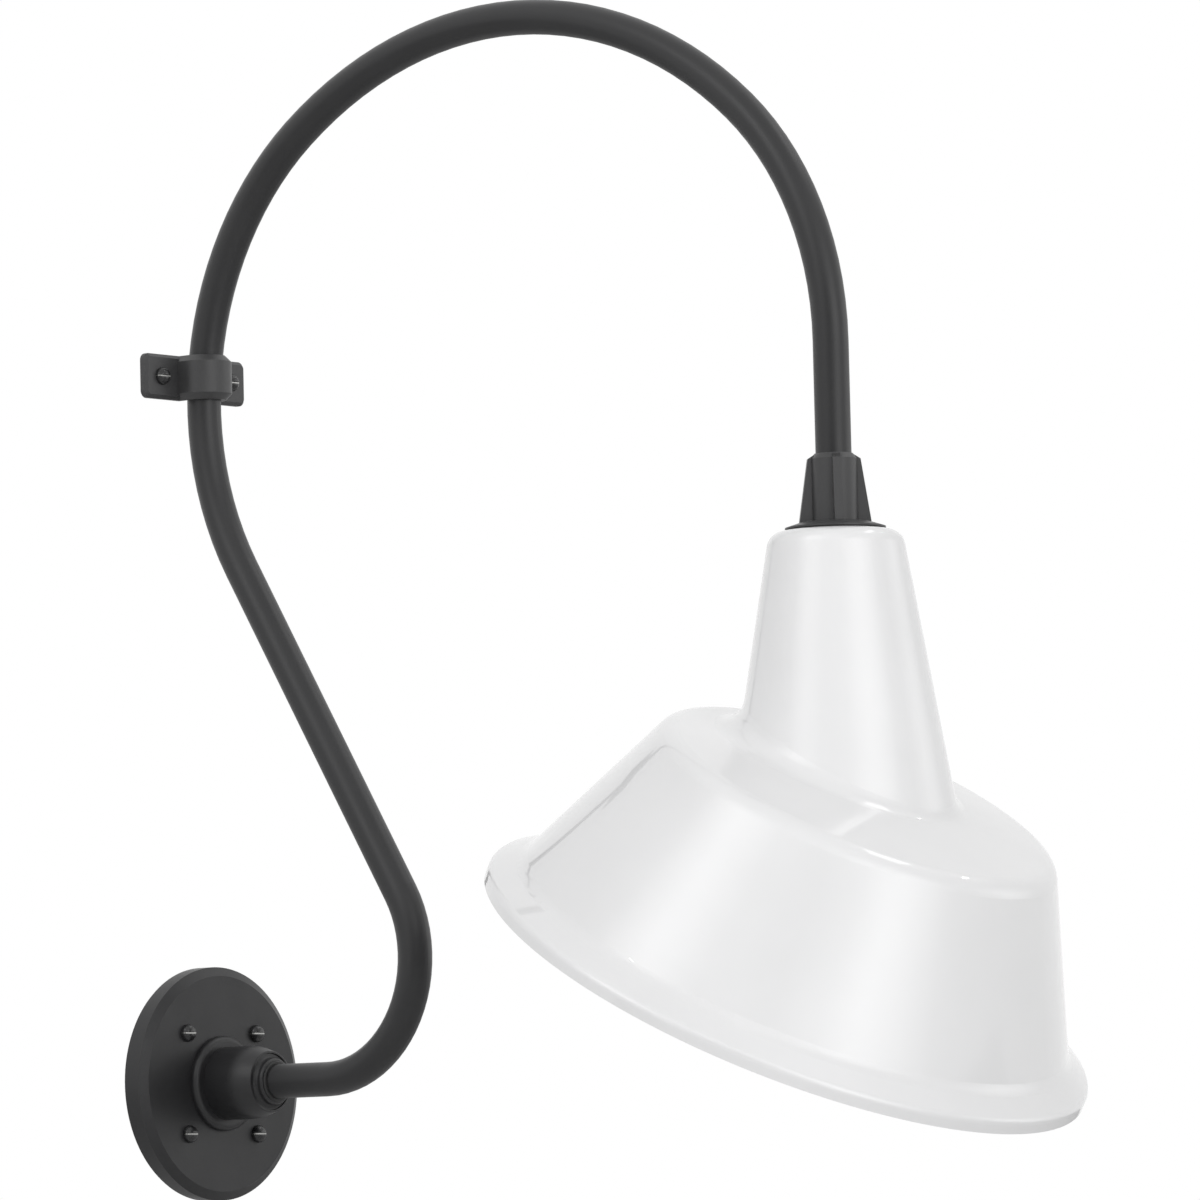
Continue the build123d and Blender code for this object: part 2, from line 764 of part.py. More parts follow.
def side_screw(seat, tip):
    """A small slotted pan-head screw about +Z: its head on the seat, its shank inwards to the tip."""
    head = turned([
        (0, seat),
        (side_head_radius, seat),
        (side_head_radius, seat + side_head_height, side_head_height / 2),
        (0, seat + side_head_height),
    ])
    slot = Pos(0, 0, seat + side_head_height) * Box(
        side_head_radius * 2 + overrun, side_slot_width, side_head_height)
    return head + rod(side_screw_radius, tip, seat) - slot


def make_strap_screws():
    """The two screws that hold the porcelain between the strap's legs."""
    seat = porcelain_radius + fit_gap + strap_thickness
    screw = side_screw(seat, side_hole_radius + screw_tip_gap)
    height = Pos(0, 0, strap_screw_height)
    return Compound([neck_axis * height * Rot(90 * side, 0, 0) * screw for side in (1, -1)])


def terminal_screw(side):
    """A terminal screw in the porcelain's side, down to its lead's well."""
    return neck_axis * Pos(0, 0, terminal_height) * Rot(0, 90 * side, 0) * side_screw(
        porcelain_radius, well_offset + lead_radius)


def make_socket_body():
    """The porcelain lampholder body, open below, with two wells for the leads."""
    body = turned([
        (0, porcelain_foot_height),
        (porcelain_radius, porcelain_foot_height, porcelain_round),
        (porcelain_radius, porcelain_top_height, porcelain_round),
        (0, porcelain_top_height),
    ])
    body -= rod(shell_radius + shell_wall + fit_gap, porcelain_foot_height - overrun, shell_top_height)
    body -= rod(contact_post_radius + fit_gap, shell_top_height - overrun,
                shell_top_height + contact_post_length)
    for side in (-1, 1):
        well = Pos(side * well_offset, 0, 0) * rod(well_radius, porcelain_top_height - well_depth,
                                                   porcelain_top_height + overrun)
        body -= well
        body -= Pos(0, 0, terminal_height) * Rot(0, 90 * side, 0) * rod(
            side_screw_radius + fit_gap, well_offset, porcelain_radius + overrun)
        body -= Pos(0, 0, strap_screw_height) * Rot(90 * side, 0, 0) * rod(
            side_screw_radius + fit_gap, side_hole_radius, porcelain_radius + overrun)
    return neck_axis * body


def make_socket_shell():
    """The thin screw shell inside the porcelain."""
    outer = shell_radius + shell_wall
    body = ring(outer, shell_radius, porcelain_foot_height + shell_lip, shell_top_height)
    body += ring(outer, shell_eye_radius, shell_top_height - shell_wall, shell_top_height)
    return neck_axis * body


def make_socket_contact():
    """The centre contact: a sprung disc on a post in the porcelain."""
    plate = rod(contact_radius, contact_height, contact_height + contact_thickness)
    post = rod(contact_post_radius, contact_height, shell_top_height + contact_post_length - fit_gap)
    return neck_axis * (plate + post)


def make_socket_lead(side):
    """A lead from the arm's end down into its well in the porcelain."""
    start, end = lead_offset * side, well_offset * side
    path = FilletPolyline(
        (start, 0, pipe_end_height - loose_gap), (start, 0, stub_end_height),
        (end, 0, porcelain_top_height), (end, 0, terminal_height - side_screw_radius), radius=lead_sweep)
    return neck_axis * swept(path, lead_radius)


# The lamp


def lamp_heights():
    """Heights of the lamp's steps, from its tip downwards: tip, insulator, thread, skirt and globe."""
    steps = [lamp_tip_height]
    for length in (lamp_tip_length, lamp_insulator_length, lamp_base_length, lamp_skirt_length):
        steps.append(steps[-1] - length)
    return steps


def make_lamp_contact():
    """The solder tip of the lamp."""
    top, seat = lamp_heights()[:2]
    return neck_axis * turned([
        (0, seat), (lamp_tip_radius, seat), (lamp_tip_radius, top, lamp_tip_length / 2), (0, top)])


def make_lamp_insulator():
    """The dark glass cone between the tip and the thread."""
    _, top, foot = lamp_heights()[:3]
    return neck_axis * turned([
        (0, foot), (lamp_insulator_radius, foot), (lamp_insulator_tip_radius, top), (0, top)])


def make_lamp_base():
    """The screw base and its skirt, hollow."""
    _, _, top, skirt, foot = lamp_heights()
    outer = turned([
        (0, foot), (lamp_skirt_radius, foot), (lamp_base_radius, skirt), (lamp_base_radius, top),
        (0, top)])
    inner = rod(lamp_base_radius - lamp_base_wall, foot - overrun, top - lamp_base_wall)
    return neck_axis * (outer - inner)


def globe_form(inset):
    """The bulb's outer form, or its hollow for an inset."""
    top = lamp_heights()[3]
    foot = top - globe_length
    centre = foot + globe_radius
    ball = Pos(0, 0, centre) * Sphere(globe_radius - inset)
    shoulder = top - globe_neck_length
    widest = globe_radius * globe_cone_share
    cone = turned([
        (0, centre), (widest - inset, centre), (globe_neck_radius - inset, shoulder, globe_flare_round),
        (globe_neck_radius - inset, top - inset), (0, top - inset)])
    return ball + cone


def make_lamp_globe():
    """The frosted glass of the lamp, one closed shell seated in its base."""
    return neck_axis * (globe_form(0) - globe_form(glass))


def make_lamp_stem():
    """The glass stem inside the bulb."""
    top = lamp_heights()[3] - glass
    body = turned([
        (0, top - stem_length), (stem_radius / 2, top - stem_length),
        (stem_radius / 2, top - stem_foot_length * 2), (stem_foot_radius, top - stem_foot_length / 2),
        (stem_foot_radius, top), (0, top)])
    return neck_axis * body


def make_lamp_filament():
    """The filament on its two support wires."""
    top = lamp_heights()[3] - glass - stem_length - filament_wire / 2
    half = filament_span / 2
    path = FilletPolyline(
        (stem_radius / 4, 0, top), (half, 0, top - filament_rise), (-half, 0, top - filament_rise),
        (-stem_radius / 4, 0, top), radius=filament_bend)
    return neck_axis * swept(path, filament_wire / 2)


PIECES = {
    "wall_gasket": make_wall_gasket,
    "canopy": make_canopy,
    "canopy_screws": make_canopy_screws,
    "hub_collar": make_hub_collar,
    "collar_seal": make_collar_seal,
    "arm_locknut": make_arm_locknut,
    "ground_screw": make_ground_screw,
    "ground_terminal": make_ground_terminal,
    "ground_lead": make_ground_lead,
    "wire_connectors": make_wire_connectors,
    "lead_bushing": make_bushing,
    "black_lead": lambda: make_supply_lead(1),
    "white_lead": lambda: make_supply_lead(-1),
    "arm": make_arm,
    "wall_clamp": make_wall_clamp,
    "clamp_screws": make_clamp_screws,
    "shade_hub": make_shade_hub,
    "swivel_screw": make_swivel_screw,
    "hub_pad": make_hub_pad,
    "shade": make_shade,
    "shade_washer": make_shade_washer,
    "shade_nut": make_shade_nut,
    "socket_strap": make_socket_strap,
    "strap_screws": make_strap_screws,
    "socket_body": make_socket_body,
    "socket_shell": make_socket_shell,
    "socket_contact": make_socket_contact,
    "black_terminal_screw": lambda: terminal_screw(1),
    "white_terminal_screw": lambda: terminal_screw(-1),
    "black_socket_lead": lambda: make_socket_lead(1),
    "white_socket_lead": lambda: make_socket_lead(-1),
    "lamp_globe": make_lamp_globe,
    "lamp_base": make_lamp_base,
    "lamp_insulator": make_lamp_insulator,
    "lamp_contact": make_lamp_contact,
    "lamp_stem": make_lamp_stem,
    "lamp_filament": make_lamp_filament,
}


def main():
    """Builds every piece and writes it to parts/."""
    os.makedirs("parts", exist_ok=True)
    for name, make in PIECES.items():
        export_step(make(), f"parts/{name}.step")
    print(f"reach {reach:.2f}")


main()
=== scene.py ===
"""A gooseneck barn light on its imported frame: finishes, screw threads, studio light and camera."""
import logging
from dataclasses import dataclass, replace
from enum import Enum
from math import cos, pi, radians, sin

import bpy
from mathutils import Matrix, Vector


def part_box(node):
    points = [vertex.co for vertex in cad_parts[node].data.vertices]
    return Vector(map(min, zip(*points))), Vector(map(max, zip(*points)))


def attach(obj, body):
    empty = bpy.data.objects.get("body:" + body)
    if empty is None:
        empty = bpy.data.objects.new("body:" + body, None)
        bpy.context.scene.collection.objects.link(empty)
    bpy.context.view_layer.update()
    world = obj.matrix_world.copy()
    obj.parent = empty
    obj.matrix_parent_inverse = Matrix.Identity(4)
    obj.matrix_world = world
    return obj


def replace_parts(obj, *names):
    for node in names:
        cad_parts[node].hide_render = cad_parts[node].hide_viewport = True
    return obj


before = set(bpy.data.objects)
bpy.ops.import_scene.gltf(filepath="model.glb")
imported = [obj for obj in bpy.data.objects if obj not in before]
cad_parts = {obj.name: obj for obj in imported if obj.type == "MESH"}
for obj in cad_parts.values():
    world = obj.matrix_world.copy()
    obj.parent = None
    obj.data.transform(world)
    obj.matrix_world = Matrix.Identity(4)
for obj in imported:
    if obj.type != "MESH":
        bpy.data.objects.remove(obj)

log = logging.getLogger("barn_light")

MM = 0.001
Triple = tuple[float, float, float]
Operand = "Value | float"
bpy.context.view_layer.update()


class Body(Enum):
    """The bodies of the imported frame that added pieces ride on."""

    SHADE_HEAD = "shade_head"
    LAMP = "lamp"


class Grain(Enum):
    """How a finish's fine relief is laid out."""

    SPECKLE = "speckle"
    PEEL = "peel"
    DRAWN = "drawn"
    CELLS = "cells"


class MixSocket:
    """The numbers of a Mix node's colour sockets, which share their names with its other sockets."""

    SHARE = 0
    FIRST = 6
    SECOND = 7
    RESULT = 2


def grey(level: float) -> Triple:
    """Returns a neutral colour of one level."""
    return (level, level, level)


def direction(azimuth: float, elevation: float) -> Vector:
    """Returns the unit vector that points out to a place round the light.

    Args:
        azimuth: The place's angle round the light, in degrees from the front.
        elevation: How far up it is, in degrees.

    Returns:
        The vector.
    """
    az, el = radians(azimuth), radians(elevation)
    return Vector((sin(az) * cos(el), -cos(az) * cos(el), sin(el)))


class Value:
    """A shader socket that can be used in Python arithmetic."""

    def __init__(self, graph: "Graph", socket: bpy.types.NodeSocket) -> None:
        """Keeps the graph and the socket.

        Args:
            graph: The graph that new Math nodes go into.
            socket: The output socket that this value stands for.
        """
        self.graph = graph
        self.socket = socket

    def _math(self, operation: str, first: Operand, second: Operand) -> "Value":
        """Adds a Math node.

        Args:
            operation: The node's operation.
            first: Its first operand.
            second: Its second operand.

        Returns:
            The node's result.
        """
        return self.graph.node("ShaderNodeMath", {"operation": operation}, {0: first, 1: second})

    def __add__(self, other: Operand) -> "Value":
        """Returns self + other."""
        return self._math("ADD", self, other)

    def __radd__(self, other: Operand) -> "Value":
        """Returns other + self."""
        return self._math("ADD", other, self)

    def __sub__(self, other: Operand) -> "Value":
        """Returns self - other."""
        return self._math("SUBTRACT", self, other)

    def __rsub__(self, other: Operand) -> "Value":
        """Returns other - self."""
        return self._math("SUBTRACT", other, self)

    def __mul__(self, other: Operand) -> "Value":
        """Returns self * other."""
        return self._math("MULTIPLY", self, other)

    def __rmul__(self, other: Operand) -> "Value":
        """Returns other * self."""
        return self._math("MULTIPLY", other, self)

    def __abs__(self) -> "Value":
        """Returns self without its sign."""
        return self._math("ABSOLUTE", self, 0)

    def at_least(self, other: Operand) -> "Value":
        """Returns the larger of self and other."""
        return self._math("MAXIMUM", self, other)

    def below(self, other: Operand) -> "Value":
        """Returns 1 where self is less than other, else 0."""
        return self._math("LESS_THAN", self, other)


class Graph:
    """The node tree of one material or world."""

    def __init__(self, tree: bpy.types.NodeTree) -> None:
        """Empties the tree and keeps it.

        Args:
            tree: The node tree to fill.
        """
        self.tree = tree
        tree.nodes.clear()

    def link(self, target: bpy.types.NodeSocket, source: "Value | float | Triple") -> None:
        """Feeds a socket from a value, or sets it to a constant.

        Args:
            target: The input socket.
            source: A value of this graph, a number, a vector or a colour.
        """
        if isinstance(source, Value):
            self.tree.links.new(source.socket, target)
        elif target.type == "RGBA":
            target.default_value = (*source, 1)
        else:
            target.default_value = source

    def add(self, kind: str, settings: dict, inputs: dict) -> bpy.types.Node:
        """Adds a node of any type.

        Args:
            kind: The node's type.
            settings: Its properties, set before its sockets.
            inputs: Values, numbers, vectors or colours by socket name or number.

        Returns:
            The node.
        """
        made = self.tree.nodes.new(kind)
        for name, setting in settings.items():
            setattr(made, name, setting)
        for name, source in inputs.items():
            self.link(made.inputs[name], source)
        return made

    def node(self, kind: str, settings: dict | None = None, inputs: dict | None = None,
             output: int | str = 0) -> Value:
        """Adds a node of any type and picks one of its outputs.

        Args:
            kind: The node's type.
            settings: Its properties, set before its sockets.
            inputs: Values, numbers, vectors or colours by socket name or number.
            output: The name or number of the output that is returned.

        Returns:
            The chosen output.
        """
        return Value(self, self.add(kind, settings or {}, inputs or {}).outputs[output])

    def end(self, kind: str, surface: Value) -> None:
        """Adds the output node and leads the surface to it.

        Args:
            kind: The output node's type.
            surface: The shader.
        """
        self.add(kind, {}, {"Surface": surface})

    def place(self, stretch: Triple = (1, 1, 1)) -> Value:
        """Returns object coordinates in metres.

        Args:
            stretch: A factor for each axis.

        Returns:
            The stretched coordinates.
        """
        spot = self.node("ShaderNodeTexCoord", output="Object")
        if stretch == (1, 1, 1):
            return spot
        return self.node("ShaderNodeMapping", {}, {"Vector": spot, "Scale": stretch}, "Vector")

    def off_middle(self, axis: str) -> Value:
        """Returns the distance from the object's origin along one axis.

        Args:
            axis: The axis, X, Y or Z.

        Returns:
            The distance in metres.
        """
        return abs(self.node("ShaderNodeSeparateXYZ", {}, {0: self.place()}, axis))

    def noise(self, grain_size: float, detail: float, stretch: Triple = (1, 1, 1)) -> Value:
        """Returns smooth noise from 0 to 1.

        Args:
            grain_size: The size of one grain in metres.
            detail: How many finer layers are added.
            stretch: A factor for each axis.

        Returns:
            The noise.
        """
        return self.node("ShaderNodeTexNoise", {}, {
            "Vector": self.place(stretch), "Scale": 1 / grain_size, "Detail": detail})

    def cells(self, cell_size: float) -> Value:
        """Returns the distance to the nearest cell centre.

        Args:
            cell_size: The size of one cell in metres.

        Returns:
            The distance, in cells.
        """
        return self.node("ShaderNodeTexVoronoi", {}, {
            "Vector": self.place(), "Scale": 1 / cell_size}, "Distance")

    def blend(self, share: Operand, first: "Value | Triple", second: "Value | Triple") -> Value:
        """Mixes two colours.

        Args:
            share: How much of the second colour is used.
            first: The first colour.
            second: The second colour.

        Returns:
            The mixed colour.
        """
        return self.node("ShaderNodeMix", {"data_type": "RGBA"}, {
            MixSocket.SHARE: share, MixSocket.FIRST: first, MixSocket.SECOND: second},
            MixSocket.RESULT)

    def spread(self, source: Value, low: float, high: float) -> Value:
        """Stretches a value so that low becomes 0 and high becomes 1, held between them.

        Args:
            source: The value.
            low: What becomes 0.
            high: What becomes 1.

        Returns:
            The stretched value.
        """
        return self.node("ShaderNodeMapRange", {"clamp": True}, {
            "Value": source, "From Min": low, "From Max": high}, "Result")


@dataclass(frozen=True)
class Finish:
    """One finish: its two tones, its gloss, and how fine its relief and its patches are.

    The slot values are for a slotted screw, whose slot shows a line of bare metal, partly wear from the
    screwdriver and partly a painted glint:
    how far the slot's middle is above or below the origin, how wide the slot is, and its metal's tone.
    """

    name: str
    colour: Triple
    second: Triple
    roughness: float
    unevenness: float = 0.05
    metallic: float = 0.0
    coat: float = 0.0
    coat_roughness: float = 0.05
    specular: float = 0.5
    transmission: float = 0.0
    grain: Grain = Grain.SPECKLE
    grain_size: float = 0.6 * MM
    coarse_grain_share: float = 3.5
    fine_share: float = 0.65
    drawn_stretch: Triple = (1, 1, 0.06)
    relief: float = 0.03 * MM
    patch_size: float = 30 * MM
    patch_levels: tuple[float, float] = (0.3, 0.7)
    slot_height: float = 0.0
    slot_width: float = 1.3 * MM
    wear_and_glint_tone: Triple = (0.30, 0.30, 0.29)
    wear_and_glint_share: float = 0.6

    def relief_of(self, graph: Graph) -> Value:
        """Returns the height pattern of the finish, from 0 to 1.

        Args:
            graph: The graph of the material.

        Returns:
            The height.
        """
        if self.grain is Grain.CELLS:
            return graph.cells(self.grain_size)
        if self.grain is Grain.PEEL:
            return graph.noise(self.grain_size, detail=0)
        if self.grain is Grain.DRAWN:
            return graph.noise(self.grain_size, detail=3, stretch=self.drawn_stretch)
        fine = graph.noise(self.grain_size, detail=1)
        coarse = graph.noise(self.grain_size * self.coarse_grain_share, detail=1)
        return fine * self.fine_share + coarse * (1 - self.fine_share)

    def slot_wear_and_glint(self, graph: Graph) -> Value:
        """Returns 1 on the line of bare metal in a screw's slot, worn metal and painted glint in one,
        and 0 elsewhere.

        Args:
            graph: The graph of the material.

        Returns:
            The mask.
        """
        off_slot = abs(graph.off_middle("Z") - self.slot_height)
        return off_slot.below(self.slot_width * self.wear_and_glint_share / 2)

    def material(self) -> bpy.types.Material:
        """Returns the finish's material, made on first use."""
        known = bpy.data.materials.get(self.name)
        if known:
            return known
        made = bpy.data.materials.new(self.name)
        made.use_nodes = True
        graph = Graph(made.node_tree)
        relief = self.relief_of(graph)
        patches = graph.spread(graph.noise(self.patch_size, detail=3), *self.patch_levels)
        shade = graph.blend(patches, self.colour, self.second)
        rough = self.roughness + (patches - 0.5) * self.unevenness + (relief - 0.5) * self.unevenness
        metallic: Operand = self.metallic
        # The line of bare metal in a screw's slot: partly wear, partly a painted glint.
        if self.slot_height:
            metallic = self.slot_wear_and_glint(graph)
            shade = graph.blend(metallic, shade, self.wear_and_glint_tone)
        bump = graph.node("ShaderNodeBump", {}, {
            "Height": relief, "Distance": self.relief, "Strength": 1.0}, "Normal")
        skin = graph.node("ShaderNodeBsdfPrincipled", {}, {
            "Base Color": shade, "Roughness": rough, "Metallic": metallic, "Normal": bump,
            "Coat Weight": self.coat, "Coat Roughness": self.coat_roughness,
            "Specular IOR Level": self.specular, "Transmission Weight": self.transmission}, "BSDF")
        graph.end("ShaderNodeOutputMaterial", skin)
        return made


POWDER_COAT = Finish(
    "powder_coat", colour=(0.015, 0.015, 0.016), second=(0.018, 0.018, 0.019), roughness=0.40,
    unevenness=0.06, specular=0.45, grain_size=0.7 * MM, relief=0.02 * MM, patch_size=50 * MM)
CAST_COAT = Finish(
    "cast_powder_coat", colour=(0.012, 0.012, 0.013), second=(0.014, 0.014, 0.015), roughness=0.43,
    unevenness=0.08, specular=0.45, grain_size=1.1 * MM, relief=0.04 * MM, patch_size=20 * MM)
# A lighter copy of the cast black coat: painted light on the hub and the clamp, which wear the same
# black coat as the canopy.
LIT_HUB_COAT = replace(
    CAST_COAT, name="lit_hub_powder_coat", colour=(0.034, 0.034, 0.035), second=(0.040, 0.040, 0.041),
    specular=0.5)
BLACK_SCREW = Finish(
    "black_screw", colour=(0.012, 0.012, 0.013), second=(0.018, 0.018, 0.019), roughness=0.26,
    unevenness=0.08, grain_size=0.5 * MM, relief=0.01 * MM, patch_size=4 * MM)
ENAMEL = Finish(
    "white_enamel", colour=(0.83, 0.83, 0.835), second=(0.80, 0.80, 0.805), roughness=0.32,
    unevenness=0.03, coat=0.9, coat_roughness=0.04, grain=Grain.PEEL, grain_size=9 * MM,
    relief=0.02 * MM, patch_size=80 * MM)
BLACK_RUBBER = Finish(
    "black_rubber", colour=grey(0.012), second=grey(0.018), roughness=0.6, unevenness=0.1,
    grain_size=0.4 * MM, relief=0.01 * MM, patch_size=6 * MM)
FOAM = Finish(
    "closed_cell_foam", colour=grey(0.03), second=grey(0.045), roughness=0.85, unevenness=0.08,
    grain=Grain.CELLS, grain_size=0.6 * MM, relief=0.1 * MM, patch_size=10 * MM)
ZINC = Finish(
    "zinc_plate", colour=(0.60, 0.60, 0.57), second=(0.50, 0.51, 0.50), roughness=0.32,
    unevenness=0.12, metallic=1.0, grain_size=0.5 * MM, relief=0.01 * MM, patch_size=6 * MM)
NICKEL = Finish(
    "nickel_plate", colour=(0.66, 0.64, 0.60), second=(0.58, 0.56, 0.52), roughness=0.24,
    unevenness=0.1, metallic=1.0, grain=Grain.DRAWN, grain_size=0.6 * MM, relief=0.01 * MM,
    patch_size=8 * MM)
BRASS = Finish(
    "plain_brass", colour=(0.72, 0.52, 0.22), second=(0.60, 0.42, 0.17), roughness=0.3,
    unevenness=0.1, metallic=1.0, grain_size=0.5 * MM, relief=0.01 * MM, patch_size=4 * MM)
PORCELAIN = Finish(
    "glazed_porcelain", colour=(0.80, 0.79, 0.74), second=(0.74, 0.73, 0.68), roughness=0.14,
    unevenness=0.04, coat=0.5, grain=Grain.PEEL, grain_size=4 * MM, relief=0.02 * MM,
    patch_size=15 * MM)
FROSTED = Finish(
    "frosted_glass", colour=(0.88, 0.88, 0.86), second=(0.84, 0.84, 0.82), roughness=0.34,
    coat=0.3, grain=Grain.PEEL, grain_size=3 * MM, relief=0.01 * MM, patch_size=20 * MM)
CLEAR_GLASS = Finish(
    "clear_glass", colour=(0.9, 0.92, 0.9), second=(0.86, 0.88, 0.86), roughness=0.08,
    unevenness=0.02, transmission=0.9, grain=Grain.PEEL, grain_size=3 * MM, relief=0.01 * MM)
BLACK_GLASS = Finish(
    "black_glass", colour=(0.012, 0.012, 0.014), second=(0.02, 0.02, 0.024), roughness=0.1,
    unevenness=0.04, grain=Grain.PEEL, grain_size=2 * MM, relief=0.02 * MM, patch_size=4 * MM)
SOLDER = Finish(
    "dull_solder", colour=(0.46, 0.46, 0.45), second=grey(0.38), roughness=0.42,
    unevenness=0.15, metallic=1.0, grain_size=0.8 * MM, relief=0.06 * MM, patch_size=2 * MM)
TUNGSTEN = Finish(
    "tungsten_wire", colour=grey(0.2), second=grey(0.14), roughness=0.4, unevenness=0.1,
    metallic=1.0, grain_size=0.2 * MM, relief=0.004 * MM, patch_size=2 * MM)
BLACK_SLEEVE = Finish(
    "black_insulation", colour=grey(0.015), second=grey(0.02), roughness=0.4, unevenness=0.08,
    grain_size=0.5 * MM, relief=0.01 * MM, patch_size=6 * MM)
WHITE_SLEEVE = replace(
    BLACK_SLEEVE, name="white_insulation", colour=(0.78, 0.78, 0.75), second=(0.70, 0.70, 0.67))
GREEN_SLEEVE = replace(
    BLACK_SLEEVE, name="green_insulation", colour=(0.02, 0.22, 0.06), second=(0.015, 0.17, 0.05))
NYLON = Finish(
    "black_nylon", colour=grey(0.03), second=grey(0.04), roughness=0.5, unevenness=0.1,
    relief=0.02 * MM, patch_size=6 * MM)
GREY_CAP = replace(
    NYLON, name="grey_plastic", colour=(0.20, 0.21, 0.23), second=(0.17, 0.18, 0.20), roughness=0.42)


def slotted(name: str, slot_height: float) -> Finish:
    """Returns the black finish of screws whose level slots lie at one height.

    Args:
        name: The finish's name.
        slot_height: How far the slots' middles are above or below the origin, in metres.

    Returns:
        The finish.
    """
    return replace(BLACK_SCREW, name=name, slot_height=slot_height)


def dress(finish: Finish, *nodes: str) -> None:
    """Gives CAD nodes a finish.

    Args:
        finish: The finish that each gets.
        nodes: Names of the nodes.
    """
    for name in nodes:
        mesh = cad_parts[name].data
        mesh.materials.clear()
        mesh.materials.append(finish.material())
        log.info("%s: %s", name, finish.name)


def add_mesh(name: str, points: list[Vector], faces: list[tuple[int, ...]], finish: Finish,
             body: Body, sharp_edge: float = 40.0) -> bpy.types.Object:
    """Adds a smooth mesh piece that rides on a body.

    Args:
        name: The piece's name.
        points: Its points in metres.
        faces: Its faces.
        finish: Its finish.
        body: The body it rides on.
        sharp_edge: The angle between faces, in degrees, from which their edge stays sharp.

    Returns:
        The new object.
    """
    mesh = bpy.data.meshes.new(name)
    mesh.from_pydata([tuple(point) for point in points], [], faces)
    mesh.polygons.foreach_set("use_smooth", [True] * len(mesh.polygons))
    mesh.set_sharp_from_angle(angle=radians(sharp_edge))
    mesh.update()
    mesh.materials.append(finish.material())
    made = bpy.data.objects.new(name, mesh)
    bpy.context.scene.collection.objects.link(made)
    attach(made, body.value)
    log.info("%s: %d faces on %s", name, len(faces), body.value)
    return made


@dataclass(frozen=True)
class ThreadedSleeve:
    """A rolled, threaded metal sleeve with a closed top end, in place of a plain CAD node."""

    name: str
    node: str
    body: Body
    foot_radius: float
    skirt: float
    outer_radius: float
    outer_crest: float
    inner_radius: float
    inner_crest: float
    eye_radius: float
    end_wall: float
    pitch: float = 3.63 * MM
    turns: int = 96
    rows: int = 100

    def ring(self, radius: float, height: float, crest: float = 0.0) -> list[Vector]:
        """Returns one row of points round the sleeve's axis.

        Args:
            radius: The row's mean radius.
            height: Its height.
            crest: How far the thread's crests rise from the mean radius.

        Returns:
            The points.
        """
        points = []
        for turn in range(self.turns):
            angle = 2 * pi * turn / self.turns
            reach = radius + crest * cos(2 * pi * height / self.pitch - angle)
            points.append(Vector((reach * cos(angle), reach * sin(angle), height)))
        return points

    def wall(self, radius: float, crest: float, low: float, high: float) -> list[list[Vector]]:
        """Returns rows of points up a threaded wall, whose thread runs out at both ends.

        Args:
            radius: The wall's mean radius.
            crest: How far the thread's crests rise from the mean radius.
            low: Its lower end.
            high: Its upper end.

        Returns:
            The rows.
        """
        made = []
        for row in range(self.rows + 1):
            height = low + (high - low) * row / self.rows
            fade = min(1.0, (height - low) / self.pitch, (high - height) / self.pitch)
            made.append(self.ring(radius, height, crest * fade))
        return made

    def profile(self, low: float, high: float) -> list[list[Vector]]:
        """Returns the rows from the foot up the outside, in to the eye and down the inside.

        Args:
            low: The sleeve's lower end.
            high: Its upper end.

        Returns:
            The rows.
        """
        rows = [self.ring(self.foot_radius, low)]
        rows += self.wall(self.outer_radius, self.outer_crest, low + self.skirt, high)
        rows += [self.ring(self.eye_radius, high), self.ring(self.eye_radius, high - self.end_wall)]
        rows += self.wall(self.inner_radius, self.inner_crest, low, high - self.end_wall)[::-1]
        return rows

    def skin(self, row_count: int) -> list[tuple[int, ...]]:
        """Returns the faces that join each row to the next, and the last row to the first.

        Args:
            row_count: How many rows there are.

        Returns:
            The faces.
        """
        faces = []
        for row in range(row_count):
            after = (row + 1) % row_count
            for turn in range(self.turns):
                beside = (turn + 1) % self.turns
                faces.append((row * self.turns + turn, row * self.turns + beside,
                              after * self.turns + beside, after * self.turns + turn))
        return faces

    def build(self) -> None:
        """Adds the sleeve and lets it stand for its CAD node."""
        near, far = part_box(self.node)
        axis = Vector(((near.x + far.x) / 2, (near.y + far.y) / 2, 0))
        rows = self.profile(near.z, far.z)
        points = [axis + point for row in rows for point in row]
        faces = self.skin(len(rows))
        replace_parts(add_mesh(self.name, points, faces, NICKEL, self.body), self.node)


@dataclass(frozen=True)
class WallEnd:
    """The canopy and all that sits in it and on it."""

    screw_circle: float = 88.9 * MM
    screw_angle: float = 45.0

    def build(self) -> None:
        """Dresses the canopy's nodes."""
        slot_height = self.screw_circle / 2 * sin(radians(self.screw_angle))
        dress(CAST_COAT, "canopy", "hub_collar")
        dress(slotted("canopy_screw", slot_height), "canopy_screws")
        dress(BLACK_RUBBER, "collar_seal")
        dress(FOAM, "wall_gasket")
        dress(ZINC, "arm_locknut", "ground_screw")
        dress(BRASS, "ground_terminal")
        dress(GREEN_SLEEVE, "ground_lead")
        dress(GREY_CAP, "wire_connectors")
        dress(NYLON, "lead_bushing")


@dataclass(frozen=True)
class Arm:
    """The bent pipe, its clamp and the leads that it holds."""

    clamp_height: float = 444.0 * MM

    def build(self) -> None:
        """Dresses the arm's nodes."""
        dress(POWDER_COAT, "arm")
        # The clamp gets the lighter copy of the cast coat, which is painted light.
        dress(LIT_HUB_COAT, "wall_clamp")
        dress(slotted("clamp_screw", self.clamp_height), "clamp_screws")
        dress(BLACK_SLEEVE, "black_lead")
        dress(WHITE_SLEEVE, "white_lead")


@dataclass(frozen=True)
class ShadeHead:
    """The hub, the shade and what clamps them."""

    def build(self) -> None:
        """Dresses the head's nodes."""
        # The hub gets the lighter copy of the cast coat, which is painted light.
        dress(LIT_HUB_COAT, "shade_hub")
        dress(BLACK_SCREW, "swivel_screw")
        dress(BLACK_RUBBER, "hub_pad")
        dress(ENAMEL, "shade")
        dress(ZINC, "shade_washer", "shade_nut", "socket_strap", "strap_screws")


